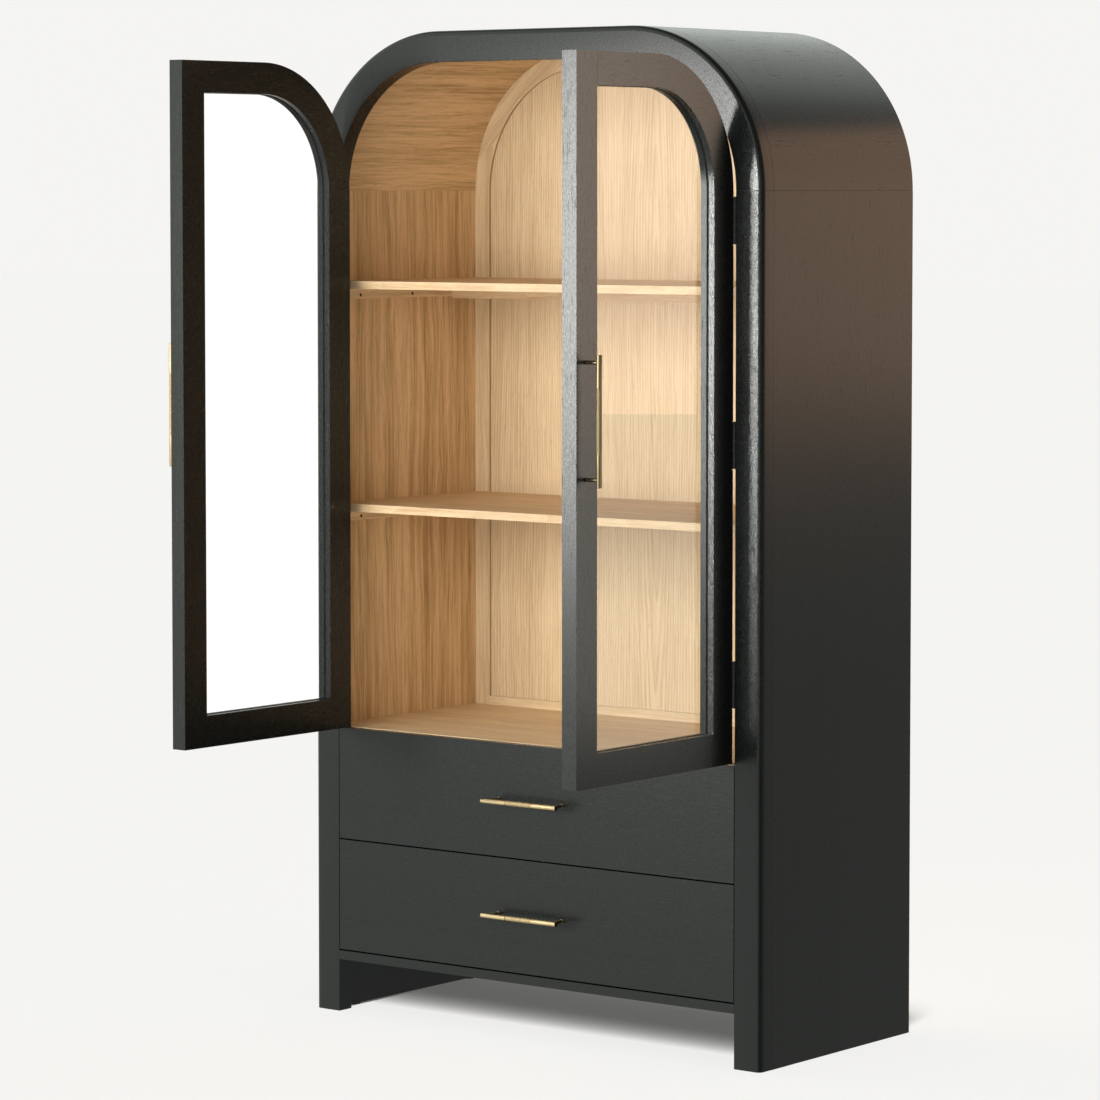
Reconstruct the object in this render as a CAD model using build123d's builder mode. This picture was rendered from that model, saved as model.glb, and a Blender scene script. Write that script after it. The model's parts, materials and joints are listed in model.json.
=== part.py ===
from build123d import *
import os
from math import cos, radians, sin

os.makedirs("parts", exist_ok=True)

# Curio cabinet: arched oak case on two drawers, with a pair of glazed doors standing open.
# X is to the right, Y towards the back and Z up from the floor, all in millimetres.

# Overall case
case_width = 1118
case_depth = 520
front_y = -12.1  # face of posts, doors and drawer fronts, which centres the open cabinet on Y = 0
half_width = case_width / 2
back_y = front_y + case_depth

# Arched head: a flat top between two quarter circles
spring_z = 1686.4
arch_centre_x = 240
arch_outer_r = half_width - arch_centre_x
top_z = spring_z + arch_outer_r

# Front face frame
post_width = 61.8
post_depth = 38
post_round_r = 11
opening_half = half_width - post_width
post_back_y = front_y + post_depth

# Carcase panels
panel_t = 15
lining_t = 6
panel_inner_x = half_width - panel_t
room_half = panel_inner_x - lining_t
back_t = 12
back_face_y = front_y + 506.7
trim_t = 6
trim_width = 38
trim_face_y = back_face_y - trim_t
trim_rail_height = 18.3
scarf_low_z = 1744

# Levels
bottom_panel_low_z = 107.7
bottom_panel_t = 18.4
floor_top_z = 588.4
floor_t = 18
floor_front_y = front_y + 20
shelf_top_z = {"upper": 1502, "lower": 1045}
shelf_t = 16
shelf_front_y = front_y + 40

# Shelf supports
ledger_t = 12
ledger_height = 22
ledger_front_y = front_y + 45
rear_rail_y = front_y + 405
rear_rail_t = 18
rear_rail_height = 26.5
rear_rail_clip = 16
ledger_screw_y = (front_y + 107, front_y + 275)
ledger_screw_rise = 8
screw_head_r = 3.5
screw_head_t = 2.5
screw_shank_r = 2
ledger_screw_length = ledger_t + lining_t

# Feet
foot_width = 33
glide_r = 13
glide_t = 4
glide_inset_y = 45

# Doors
door_t = 33
door_frame_width = 62.8
hinge_gap = 3
meeting_gap = 4
door_low_z = floor_top_z + 2.6
door_corner_r = arch_outer_r - post_width - hinge_gap
door_top_z = spring_z + door_corner_r
door_width = opening_half - hinge_gap - meeting_gap / 2
open_angle = {"left": 91, "right": 90}
side_sign = {"left": -1, "right": 1}

# Door glazing
glass_t = 4
groove_t = 6
groove_depth = 8
glass_cover = 5
seal_reveal = 1

# Hinges
pivot_x = opening_half - hinge_gap / 2
pivot_out = 1.6
hinge_length = 89
hinge_centre_z = (742, 1201, 1629)
knuckle_r = 2.9
knuckle_recess_r = 3.3
knuckle_bore_r = 1.6
knuckle_count = 5
knuckle_gap = 0.4
knuckle_length = (hinge_length - (knuckle_count - 1) * knuckle_gap) / knuckle_count
leaf_t = 1.3
leaf_width = 26
leaf_clear = 0.2
knuckle_neck = knuckle_r + leaf_clear + 1
pin_r = 1.55
pin_head_r = 2.8
pin_head_t = 1.6
recess_length = hinge_length + 2 * pin_head_t + 1
hinge_screw_r = 1.6
hinge_screw_head_r = 3
hinge_screw_length = 16
hinge_screw_inset = 14
hinge_screw_spacing = 30

# Door handles: a bar on two posts
handle_length = 243
handle_centre_z = 1266.7
handle_post_spacing = 214.5
handle_bar_r = 5.5
handle_grip_r = 5.2
handle_grip_length = 120
handle_stand_off = 28
handle_edge_inset = 31.4
handle_post_r = 4.2

# Drawers
front_t = 20
drawer_gap = 1.5
drawer_split_z = 357.8
drawer_low_z = 127.8
front_width = 2 * (opening_half - drawer_gap)
front_levels = {
    "upper": (drawer_split_z + drawer_gap, floor_top_z - 1.4),
    "lower": (drawer_low_z + drawer_gap, drawer_split_z - drawer_gap),
}
slide_space = 12.7
box_outer_half = opening_half - slide_space
box_side_t = 12
box_length = 450
box_height = 180
box_rise = 16
box_bottom_t = 6
box_bottom_rise = 12
box_groove_depth = 6
box_front_y = front_y + front_t
pull_length = 187
pull_post_spacing = 160
pull_grip_length = 62
pull_stand_off = 36
pull_rise = 115

# Drawer slides: three nested channels
slide_length = 450
slide_front_y = front_y + 24
slide_height = 45
slide_wall = 1.5
slide_nest = 0.5
slide_rise = 85
packer_height = 60
packer_front_y = front_y + 60
packer_length = 400


def save(sub_part, name):
    """Label a finished sub-part and write it as one STEP file."""
    sub_part.part.label = name
    export_step(sub_part.part, f"parts/{name}.step")


def front_plane(y):
    """Upright plane facing the front, with X to the right and local Y up."""
    return Plane(origin=(0, y, 0), x_dir=(1, 0, 0), z_dir=(0, -1, 0))


def arch_outline(half, low_z, mode=Mode.ADD):
    """Put an arch of the given half width, standing on low_z, into the current sketch."""
    radius = half - arch_centre_x
    bend = radius * sin(radians(45))
    high_z = spring_z + radius
    feet = [(-half, low_z), (half, low_z)] if low_z < spring_z else []
    with BuildLine() as outline:
        Polyline((-half, spring_z), *feet, (half, spring_z))
        ThreePointArc((half, spring_z), (arch_centre_x + bend, spring_z + bend), (arch_centre_x, high_z))
        Line((arch_centre_x, high_z), (-arch_centre_x, high_z))
        ThreePointArc((-arch_centre_x, high_z), (-arch_centre_x - bend, spring_z + bend), (-half, spring_z))
    make_face(outline.edges(), mode=mode)


def arch_band(y, outer_half, inner_half, depth):
    """Add the band between two nested arches above the spring line, from y back by depth."""
    with BuildSketch(front_plane(y)) as band:
        arch_outline(outer_half, spring_z)
        arch_outline(inner_half, spring_z, mode=Mode.SUBTRACT)
    extrude(band.sketch, amount=-depth)


def block(corner, opposite, mode=Mode.ADD):
    """Add or cut a box square to the working plane, given by two opposite corners."""
    size = [abs(b - a) for a, b in zip(corner, opposite)]
    with Locations(tuple((a + b) / 2 for a, b in zip(corner, opposite))):
        Box(*size, mode=mode)


# ---------------------------------------------------------------- case: sides, head and panels

for side, sign in side_sign.items():
    hinge_screw_places = [
        (sign * opening_half, front_y + hinge_screw_inset, z + k * hinge_screw_spacing)
        for z in hinge_centre_z
        for k in (-1, 0, 1)
    ]

    with BuildPart() as front_post:
        block((sign * opening_half, front_y, 0), (sign * half_width, post_back_y, spring_z))
        outer_edge = front_post.edges().filter_by(Axis.Z).group_by(Axis.Y)[0].sort_by(Axis.X)
        fillet(outer_edge[-1] if sign > 0 else outer_edge[0], post_round_r)
        with Locations(*hinge_screw_places):
            Cylinder(hinge_screw_r, 2 * hinge_screw_length, rotation=(0, 90, 0), mode=Mode.SUBTRACT)
        with Locations(*[(sign * pivot_x, front_y - pivot_out, z) for z in hinge_centre_z]):
            Cylinder(knuckle_recess_r, recess_length, mode=Mode.SUBTRACT)
    save(front_post, f"{side}_front_post")

    with BuildPart() as side_panel:
        block((sign * panel_inner_x, post_back_y, 0), (sign * half_width, back_y, spring_z))
    save(side_panel, f"{side}_side_panel")

with BuildPart() as front_arch_head:
    arch_band(front_y, half_width, opening_half, post_depth)
    front_edges = front_arch_head.edges().group_by(Axis.Y)[0]
    outer_arcs = front_edges.filter_by(GeomType.CIRCLE).group_by(lambda edge: edge.radius)[-1]
    fillet(outer_arcs + front_edges.sort_by(Axis.Z)[-1:], post_round_r)
save(front_arch_head, "front_arch_head")

with BuildPart() as arch_top_shell:
    arch_band(post_back_y, half_width, panel_inner_x, back_y - post_back_y)
save(arch_top_shell, "arch_top_shell")

with BuildPart() as arch_lining:
    arch_band(post_back_y, panel_inner_x, room_half, back_face_y - post_back_y)
save(arch_lining, "arch_lining")

ledger_screw_places = [
    (sign, y, z - shelf_t - ledger_height + ledger_screw_rise)
    for sign in (-1, 1)
    for z in shelf_top_z.values()
    for y in ledger_screw_y
]

with BuildPart() as side_linings:
    for sign in (-1, 1):
        block((sign * room_half, post_back_y, floor_top_z), (sign * panel_inner_x, back_face_y, spring_z))
    with Locations(*[(sign * room_half, y, z) for sign, y, z in ledger_screw_places]):
        Cylinder(screw_shank_r, 4 * lining_t, rotation=(0, 90, 0), mode=Mode.SUBTRACT)
save(side_linings, "side_linings")

with BuildPart() as bottom_panel:
    block((-panel_inner_x, post_back_y, bottom_panel_low_z),
          (panel_inner_x, back_face_y, bottom_panel_low_z + bottom_panel_t))
    block((-opening_half, front_y, bottom_panel_low_z),
          (opening_half, post_back_y, bottom_panel_low_z + bottom_panel_t))
save(bottom_panel, "bottom_panel")

with BuildPart() as cabinet_floor:
    block((-panel_inner_x, post_back_y, floor_top_z - floor_t), (panel_inner_x, back_face_y, floor_top_z))
    block((-opening_half, floor_front_y, floor_top_z - floor_t), (opening_half, post_back_y, floor_top_z))
save(cabinet_floor, "cabinet_floor")

with BuildPart() as back_panel:
    with BuildSketch(front_plane(back_face_y)):
        arch_outline(panel_inner_x, bottom_panel_low_z)
    extrude(amount=-back_t)
save(back_panel, "back_panel")

# The trim frame around the back has mitred scarf joints a little above the spring line.
trim_inner_half = room_half - trim_width
scarf_high_z = scarf_low_z + trim_width


def back_trim(cut_off_z):
    """Add the trim frame's band on one side of its scarf joints, away from cut_off_z."""
    with BuildSketch(front_plane(trim_face_y)) as band:
        arch_outline(room_half, floor_top_z)
        arch_outline(trim_inner_half, floor_top_z, mode=Mode.SUBTRACT)
        with BuildLine():
            Polyline((-room_half, scarf_low_z), (-trim_inner_half, scarf_high_z),
                     (trim_inner_half, scarf_high_z), (room_half, scarf_low_z),
                     (room_half, cut_off_z), (-room_half, cut_off_z), close=True)
        make_face(mode=Mode.SUBTRACT)
    extrude(band.sketch, amount=-trim_t)


with BuildPart() as back_trim_arch:
    back_trim(0)
save(back_trim_arch, "back_trim_arch")

with BuildPart() as back_trim_stiles:
    back_trim(top_z)
save(back_trim_stiles, "back_trim_stiles")

with BuildPart() as back_trim_rail:
    block((-trim_inner_half, trim_face_y, floor_top_z),
          (trim_inner_half, back_face_y, floor_top_z + trim_rail_height))
save(back_trim_rail, "back_trim_rail")

# ---------------------------------------------------------------- shelves and their supports

for level, z in shelf_top_z.items():
    with BuildPart() as shelf:
        block((-room_half, shelf_front_y, z - shelf_t), (room_half, trim_face_y, z))
    save(shelf, f"{level}_shelf")

with BuildPart() as shelf_rear_rails:
    with BuildSketch(front_plane(rear_rail_y)):
        for z in shelf_top_z.values():
            under_z = z - shelf_t
            with BuildLine():
                Polyline((-room_half, under_z), (room_half, under_z),
                         (room_half, under_z - rear_rail_height + rear_rail_clip),
                         (room_half - rear_rail_clip, under_z - rear_rail_height),
                         (-room_half + rear_rail_clip, under_z - rear_rail_height),
                         (-room_half, under_z - rear_rail_height + rear_rail_clip), close=True)
            make_face()
    extrude(amount=-rear_rail_t)
save(shelf_rear_rails, "shelf_rear_rails")

with BuildPart() as shelf_ledgers:
    for sign in (-1, 1):
        for z in shelf_top_z.values():
            block((sign * (room_half - ledger_t), ledger_front_y, z - shelf_t - ledger_height),
                  (sign * room_half, rear_rail_y, z - shelf_t))
    with Locations(*[(sign * room_half, y, z) for sign, y, z in ledger_screw_places]):
        Cylinder(screw_shank_r, 4 * ledger_t, rotation=(0, 90, 0), mode=Mode.SUBTRACT)
    with Locations(*[(sign * (room_half - ledger_t), y, z) for sign, y, z in ledger_screw_places]):
        Cylinder(screw_head_r, 2 * screw_head_t, rotation=(0, 90, 0), mode=Mode.SUBTRACT)
save(shelf_ledgers, "shelf_ledgers")

with BuildPart() as ledger_screws:
    for sign, y, z in ledger_screw_places:
        face_x = sign * (room_half - ledger_t)
        with Locations((face_x + sign * screw_head_t / 2, y, z)):
            Cylinder(screw_head_r, screw_head_t, rotation=(0, 90, 0))
        with Locations((face_x + sign * ledger_screw_length / 2, y, z)):
            Cylinder(screw_shank_r, ledger_screw_length, rotation=(0, 90, 0))
save(ledger_screws, "ledger_screws")

# ---------------------------------------------------------------- feet

with BuildPart() as foot_blocks:
    for sign in (-1, 1):
        block((sign * (panel_inner_x - foot_width), post_back_y, glide_t),
              (sign * panel_inner_x, back_face_y, bottom_panel_low_z))
save(foot_blocks, "foot_blocks")

with BuildPart() as floor_glides:
    glide_x = panel_inner_x - foot_width / 2
    glide_places = [
        (sign * glide_x, y, glide_t / 2)
        for sign in (-1, 1)
        for y in (post_back_y + glide_inset_y, back_face_y - glide_inset_y)
    ]
    with Locations(*glide_places):
        Cylinder(glide_r, glide_t)
save(floor_glides, "floor_glides")

# ---------------------------------------------------------------- hinges on the case

knuckle_step = knuckle_length + knuckle_gap


def knuckle_z(hinge_z, index):
    """Height of one knuckle's middle, counted from the bottom of the hinge."""
    return hinge_z + (index - (knuckle_count - 1) / 2) * knuckle_step


with BuildPart() as hinge_frame_leaves:
    for sign in (-1, 1):
        face_x = sign * opening_half
        leaf_x = face_x - sign * leaf_t
        barrel_y = front_y - pivot_out
        for hinge_z in hinge_centre_z:
            block((leaf_x, barrel_y + knuckle_r + leaf_clear, hinge_z - hinge_length / 2),
                  (face_x, front_y + leaf_width, hinge_z + hinge_length / 2))
            for index in range(0, knuckle_count, 2):
                middle = knuckle_z(hinge_z, index)
                block((leaf_x, barrel_y, middle - knuckle_length / 2),
                      (face_x, barrel_y + knuckle_neck, middle + knuckle_length / 2))
                with Locations((sign * pivot_x, barrel_y, middle)):
                    Cylinder(knuckle_r, knuckle_length)
            with Locations((sign * pivot_x, barrel_y, hinge_z)):
                Cylinder(knuckle_bore_r, 2 * hinge_length, mode=Mode.SUBTRACT)
            for k in (-1, 0, 1):
                with Locations((face_x, front_y + hinge_screw_inset, hinge_z + k * hinge_screw_spacing)):
                    Cylinder(hinge_screw_head_r, 3 * leaf_t, rotation=(0, 90, 0), mode=Mode.SUBTRACT)
save(hinge_frame_leaves, "hinge_frame_leaves")

with BuildPart() as hinge_pins:
    for sign in (-1, 1):
        for hinge_z in hinge_centre_z:
            with Locations((sign * pivot_x, front_y - pivot_out, hinge_z)):
                Cylinder(pin_r, hinge_length)
            with Locations((sign * pivot_x, front_y - pivot_out, hinge_z + (hinge_length + pin_head_t) / 2)):
                Cylinder(pin_head_r, pin_head_t)
save(hinge_pins, "hinge_pins")

with BuildPart() as hinge_frame_screws:
    for sign in (-1, 1):
        for hinge_z in hinge_centre_z:
            for k in (-1, 0, 1):
                screw_y = front_y + hinge_screw_inset
                screw_z = hinge_z + k * hinge_screw_spacing
                with Locations((sign * (opening_half - leaf_t / 2), screw_y, screw_z)):
                    Cylinder(hinge_screw_head_r, leaf_t, rotation=(0, 90, 0))
                with Locations((sign * (opening_half + hinge_screw_length / 2), screw_y, screw_z)):
                    Cylinder(hinge_screw_r, hinge_screw_length, rotation=(0, 90, 0))
save(hinge_frame_screws, "hinge_frame_screws")

# ---------------------------------------------------------------- doors

# Door coordinates: the origin is the hinge axis at floor level, local X runs along the width,
# local Y is up and local Z points out of the outer face. u is the distance from the hinge axis,
# and hand is the direction of u along local X.
edge_u = hinge_gap / 2
free_u = edge_u + door_width
inner_u = edge_u + door_frame_width
far_u = free_u - door_frame_width
corner_u = pivot_x - arch_centre_x
outer_face = -pivot_out
inner_face = outer_face - door_t
middle_depth = (outer_face + inner_face) / 2
screw_depth = outer_face - hinge_screw_inset


def door_plane(side, offset=0):
    """Plane of a door as it stands open, moved out along its outer normal by offset."""
    sign = side_sign[side]
    angle = radians(sign * open_angle[side])
    plane = Plane(origin=(sign * pivot_x, front_y - pivot_out, 0),
                  x_dir=(cos(angle), sin(angle), 0), z_dir=(sin(angle), -cos(angle), 0))
    return plane.offset(offset)


def door_outline(hand, inset, mode=Mode.ADD):
    """Put the door's outline, moved in by inset, into the current sketch."""
    radius = door_corner_r - inset
    bend = radius * sin(radians(45))
    hinge_x = hand * (edge_u + inset)
    free_x = hand * (free_u - inset)
    low_z = door_low_z + inset
    high_z = door_top_z - inset
    corner_x = hand * corner_u
    with BuildLine() as outline:
        Polyline((corner_x, high_z), (free_x, high_z), (free_x, low_z),
                 (hinge_x, low_z), (hinge_x, spring_z))
        ThreePointArc((hinge_x, spring_z), (hand * (corner_u - bend), spring_z + bend), (corner_x, high_z))
    make_face(outline.edges(), mode=mode)


def door_block(hand, u_range, z_range, depth_range):
    """Add a box given by its ranges in door coordinates."""
    block((hand * u_range[0], z_range[0], depth_range[0]), (hand * u_range[1], z_range[1], depth_range[1]))


def cut_groove(side, hand):
    """Cut the glazing groove out of the current door member."""
    with BuildSketch(door_plane(side, middle_depth - groove_t / 2)) as groove:
        door_outline(hand, door_frame_width - groove_depth)
    extrude(groove.sketch, amount=groove_t, mode=Mode.SUBTRACT)


def bar_handle(length, grip_length, spacing, stand_off):
    """Add a bar along local Y at height stand_off above the face, on two posts.

    The grip in the middle of the bar is slightly slimmer than the ends.
    """
    end_length = (length - grip_length) / 2
    end_y = (grip_length + end_length) / 2
    with Locations((0, -end_y, stand_off), (0, end_y, stand_off)):
        Cylinder(handle_bar_r, end_length, rotation=(90, 0, 0))
    with Locations((0, 0, stand_off)):
        Cylinder(handle_grip_r, grip_length, rotation=(90, 0, 0))
    with Locations((0, -spacing / 2, stand_off / 2), (0, spacing / 2, stand_off / 2)):
        Cylinder(handle_post_r, stand_off)


for side, sign in side_sign.items():
    hand = -sign
    screw_z = [z + k * hinge_screw_spacing for z in hinge_centre_z for k in (-1, 0, 1)]

    with BuildPart(door_plane(side)) as hinge_stile:
        door_block(hand, (edge_u, inner_u), (door_low_z, spring_z), (inner_face, outer_face))
        cut_groove(side, hand)
        with Locations(*[(hand * edge_u, z, screw_depth) for z in screw_z]):
            Cylinder(hinge_screw_r, 2 * hinge_screw_length, rotation=(0, 90, 0), mode=Mode.SUBTRACT)
        with Locations(*[(0, z, 0) for z in hinge_centre_z]):
            Cylinder(knuckle_recess_r, recess_length, rotation=(90, 0, 0), mode=Mode.SUBTRACT)
    save(hinge_stile, f"{side}_door_hinge_stile")

    with BuildPart(door_plane(side)) as meeting_stile:
        door_block(hand, (far_u, free_u), (door_low_z, door_top_z), (inner_face, outer_face))
        cut_groove(side, hand)
    save(meeting_stile, f"{side}_door_meeting_stile")

    with BuildPart(door_plane(side)) as bottom_rail:
        rail_z = (door_low_z, door_low_z + door_frame_width)
        door_block(hand, (inner_u, far_u), rail_z, (inner_face, outer_face))
        cut_groove(side, hand)
    save(bottom_rail, f"{side}_door_bottom_rail")

    with BuildPart() as arched_rail:
        with BuildSketch(door_plane(side, outer_face)):
            door_outline(hand, 0)
            door_outline(hand, door_frame_width, mode=Mode.SUBTRACT)
            with Locations((hand * corner_u, (door_low_z + spring_z) / 2)):
                Rectangle(2 * corner_u, spring_z - door_low_z, mode=Mode.SUBTRACT)
            with Locations((hand * (far_u + free_u) / 2, (door_low_z + door_top_z) / 2)):
                Rectangle(door_frame_width, door_top_z - door_low_z, mode=Mode.SUBTRACT)
            with Locations((hand * (corner_u + far_u) / 2, door_low_z + door_frame_width / 2)):
                Rectangle(far_u, door_frame_width, mode=Mode.SUBTRACT)
        extrude(amount=-door_t)
        cut_groove(side, hand)
    save(arched_rail, f"{side}_door_arched_rail")

    with BuildPart() as door_glass:
        with BuildSketch(door_plane(side, middle_depth - glass_t / 2)):
            door_outline(hand, door_frame_width - glass_cover)
        extrude(amount=glass_t)
    save(door_glass, f"{side}_door_glass")

    with BuildPart() as glazing_seal:
        with BuildSketch(door_plane(side, middle_depth - groove_t / 2)):
            door_outline(hand, door_frame_width - groove_depth)
            door_outline(hand, door_frame_width + seal_reveal, mode=Mode.SUBTRACT)
        extrude(amount=groove_t)
        with BuildSketch(door_plane(side, middle_depth - glass_t / 2)):
            door_outline(hand, door_frame_width - glass_cover)
        extrude(amount=glass_t, mode=Mode.SUBTRACT)
    save(glazing_seal, f"{side}_door_glazing_seal")

    with BuildPart(door_plane(side, outer_face)) as door_handle:
        with Locations((hand * (free_u - handle_edge_inset), handle_centre_z)):
            bar_handle(handle_length, handle_grip_length, handle_post_spacing, handle_stand_off)
    save(door_handle, f"{side}_door_handle")

    with BuildPart(door_plane(side)) as hinge_leaves:
        for hinge_z in hinge_centre_z:
            leaf_z = (hinge_z - hinge_length / 2, hinge_z + hinge_length / 2)
            leaf_depth = (outer_face - leaf_width, -knuckle_r - leaf_clear)
            door_block(hand, (edge_u - leaf_t, edge_u), leaf_z, leaf_depth)
            for index in range(1, knuckle_count, 2):
                middle = knuckle_z(hinge_z, index)
                neck_z = (middle - knuckle_length / 2, middle + knuckle_length / 2)
                door_block(hand, (edge_u - leaf_t, edge_u), neck_z, (-knuckle_neck, 0))
                with Locations((0, middle, 0)):
                    Cylinder(knuckle_r, knuckle_length, rotation=(90, 0, 0))
            with Locations((0, hinge_z, 0)):
                Cylinder(knuckle_bore_r, 2 * hinge_length, rotation=(90, 0, 0), mode=Mode.SUBTRACT)
        with Locations(*[(hand * edge_u, z, screw_depth) for z in screw_z]):
            Cylinder(hinge_screw_head_r, 3 * leaf_t, rotation=(0, 90, 0), mode=Mode.SUBTRACT)
    save(hinge_leaves, f"{side}_door_hinge_leaves")

    with BuildPart(door_plane(side)) as hinge_screws:
        with Locations(*[(hand * (edge_u - leaf_t / 2), z, screw_depth) for z in screw_z]):
            Cylinder(hinge_screw_head_r, leaf_t, rotation=(0, 90, 0))
        with Locations(*[(hand * (edge_u + hinge_screw_length / 2), z, screw_depth) for z in screw_z]):
            Cylinder(hinge_screw_r, hinge_screw_length, rotation=(0, 90, 0))
    save(hinge_screws, f"{side}_door_hinge_screws")

# ---------------------------------------------------------------- drawers

box_inner_half = box_outer_half - box_side_t
box_back_y = box_front_y + box_length

for level, (low_z, high_z) in front_levels.items():
    box_low_z = low_z + box_rise
    groove_low_z = box_low_z + box_bottom_rise
    groove_high_z = groove_low_z + box_bottom_t
    groove_half = box_inner_half + box_groove_depth
    bottom_low = (-groove_half, box_front_y - box_groove_depth, groove_low_z)
    bottom_high = (groove_half, box_back_y, groove_high_z)

    with BuildPart() as drawer_front:
        block((-front_width / 2, front_y, low_z), (front_width / 2, box_front_y, high_z))
        block(bottom_low, bottom_high, mode=Mode.SUBTRACT)
    save(drawer_front, f"{level}_drawer_front")

    with BuildPart() as box_sides:
        for sign in (-1, 1):
            block((sign * box_inner_half, box_front_y, box_low_z),
                  (sign * box_outer_half, box_back_y, box_low_z + box_height))
        block(bottom_low, bottom_high, mode=Mode.SUBTRACT)
    save(box_sides, f"{level}_drawer_sides")

    with BuildPart() as box_back:
        block((-box_inner_half, box_back_y - box_side_t, groove_high_z),
              (box_inner_half, box_back_y, box_low_z + box_height))
    save(box_back, f"{level}_drawer_back")

    with BuildPart() as box_bottom:
        block(bottom_low, bottom_high)
    save(box_bottom, f"{level}_drawer_bottom")

    pull_plane = Plane(origin=(0, front_y, low_z + pull_rise), x_dir=(0, 0, 1), z_dir=(0, -1, 0))
    with BuildPart(pull_plane) as drawer_pull:
        bar_handle(pull_length, pull_grip_length, pull_post_spacing, pull_stand_off)
    save(drawer_pull, f"{level}_drawer_pull")


# ---------------------------------------------------------------- drawer slides


def channel(sign, web_x, open_x, centre_z, height):
    """Add a channel along Y whose web stands at web_x and whose mouth is at open_x."""
    slot = height / 2 - slide_wall
    inward = slide_wall if open_x > web_x else -slide_wall
    past = 1 if open_x > web_x else -1
    slide_back_y = slide_front_y + slide_length
    block((sign * web_x, slide_front_y, centre_z - height / 2),
          (sign * open_x, slide_back_y, centre_z + height / 2))
    block((sign * (web_x + inward), slide_front_y - 1, centre_z - slot),
          (sign * (open_x + past), slide_back_y + 1, centre_z + slot), mode=Mode.SUBTRACT)


nest_step = slide_wall + slide_nest
slide_mouth_x = box_outer_half + 1
slide_centres = {level: low_z + slide_rise for level, (low_z, high_z) in front_levels.items()}

with BuildPart() as slide_packers:
    for centre_z in slide_centres.values():
        for sign in (-1, 1):
            block((sign * opening_half, packer_front_y, centre_z - packer_height / 2),
                  (sign * panel_inner_x, packer_front_y + packer_length, centre_z + packer_height / 2))
save(slide_packers, "slide_packers")

with BuildPart() as slide_outer_members:
    for centre_z in slide_centres.values():
        for sign in (-1, 1):
            channel(sign, opening_half, slide_mouth_x, centre_z, slide_height)
save(slide_outer_members, "slide_outer_members")

for level, centre_z in slide_centres.items():
    with BuildPart() as slide_middle_members:
        for sign in (-1, 1):
            channel(sign, opening_half - nest_step, slide_mouth_x, centre_z, slide_height - 2 * nest_step)
    save(slide_middle_members, f"{level}_slide_middle_members")

    with BuildPart() as slide_inner_members:
        for sign in (-1, 1):
            channel(sign, box_outer_half, opening_half - 2 * nest_step, centre_z,
                    slide_height - 4 * nest_step)
    save(slide_inner_members, f"{level}_slide_inner_members")
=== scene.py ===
import json
from math import cos, pi, radians, sin

import bmesh
import bpy
from mathutils import Matrix, Vector

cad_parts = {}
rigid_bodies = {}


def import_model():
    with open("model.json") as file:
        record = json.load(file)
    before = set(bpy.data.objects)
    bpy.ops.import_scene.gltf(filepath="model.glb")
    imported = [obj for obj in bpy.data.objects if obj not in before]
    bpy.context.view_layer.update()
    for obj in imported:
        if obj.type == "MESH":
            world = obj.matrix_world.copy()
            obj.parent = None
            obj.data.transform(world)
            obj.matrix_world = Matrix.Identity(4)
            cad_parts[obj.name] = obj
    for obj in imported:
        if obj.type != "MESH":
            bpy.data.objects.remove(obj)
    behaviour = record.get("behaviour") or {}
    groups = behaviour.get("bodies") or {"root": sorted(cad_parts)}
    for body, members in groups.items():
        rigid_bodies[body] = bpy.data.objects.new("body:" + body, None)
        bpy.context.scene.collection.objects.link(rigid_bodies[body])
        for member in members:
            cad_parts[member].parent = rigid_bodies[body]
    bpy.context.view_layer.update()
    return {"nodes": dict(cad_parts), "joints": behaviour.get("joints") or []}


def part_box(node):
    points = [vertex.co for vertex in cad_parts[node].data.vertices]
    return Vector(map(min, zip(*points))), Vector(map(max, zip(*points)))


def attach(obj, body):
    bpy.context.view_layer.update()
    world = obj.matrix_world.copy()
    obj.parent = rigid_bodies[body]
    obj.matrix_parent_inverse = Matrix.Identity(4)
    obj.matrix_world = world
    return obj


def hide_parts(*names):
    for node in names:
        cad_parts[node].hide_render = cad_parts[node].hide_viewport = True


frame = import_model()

# Driving dimensions, in metres, read from the CAD nodes where they show there.
MM = 0.001
POST_LOW, POST_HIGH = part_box("right_front_post")
HEAD_LOW, HEAD_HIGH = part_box("front_arch_head")
SHELL_LOW, SHELL_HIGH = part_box("arch_top_shell")
LINING_LOW, LINING_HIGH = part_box("arch_lining")
FRONT_Y = HEAD_LOW.y
SPRING_Z = HEAD_LOW.z
OUTER_R = HEAD_HIGH.z - SPRING_Z
ARCH_X = HEAD_HIGH.x - OUTER_R
OPENING_HALF = POST_LOW.x
INNER_R = OPENING_HALF - ARCH_X
PANEL_T = 15 * MM
LINING_R = LINING_HIGH.z - SPRING_Z
LINING_T = 6 * MM
POST_ROUND = 11 * MM
EDGE_BREAK = 0.6 * MM
ARC_STEPS = 48

DOOR_T = 33 * MM
DOOR_FRAME = 62.8 * MM
HINGE_GAP = 3 * MM
PIVOT_OUT = 1.6 * MM
GROOVE_T = 6 * MM
GROOVE_DEPTH = 8 * MM
GLASS_T = 4 * MM
GLASS_COVER = 5 * MM
SEAL_REVEAL = 1 * MM
DOOR_LOW_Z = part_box("right_door_hinge_stile")[0].z
DOOR_TOP_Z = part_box("right_door_arched_rail")[1].z
DOOR_R = DOOR_TOP_Z - SPRING_Z
EDGE_U = HINGE_GAP / 2
MEETING_GAP = 4 * MM
FREE_U = OPENING_HALF - HINGE_GAP / 2 - MEETING_GAP / 2
CORNER_U = EDGE_U + DOOR_R
OPEN_ANGLE = {"left": -91, "right": 90}
HAND = {"left": 1, "right": -1}

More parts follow.
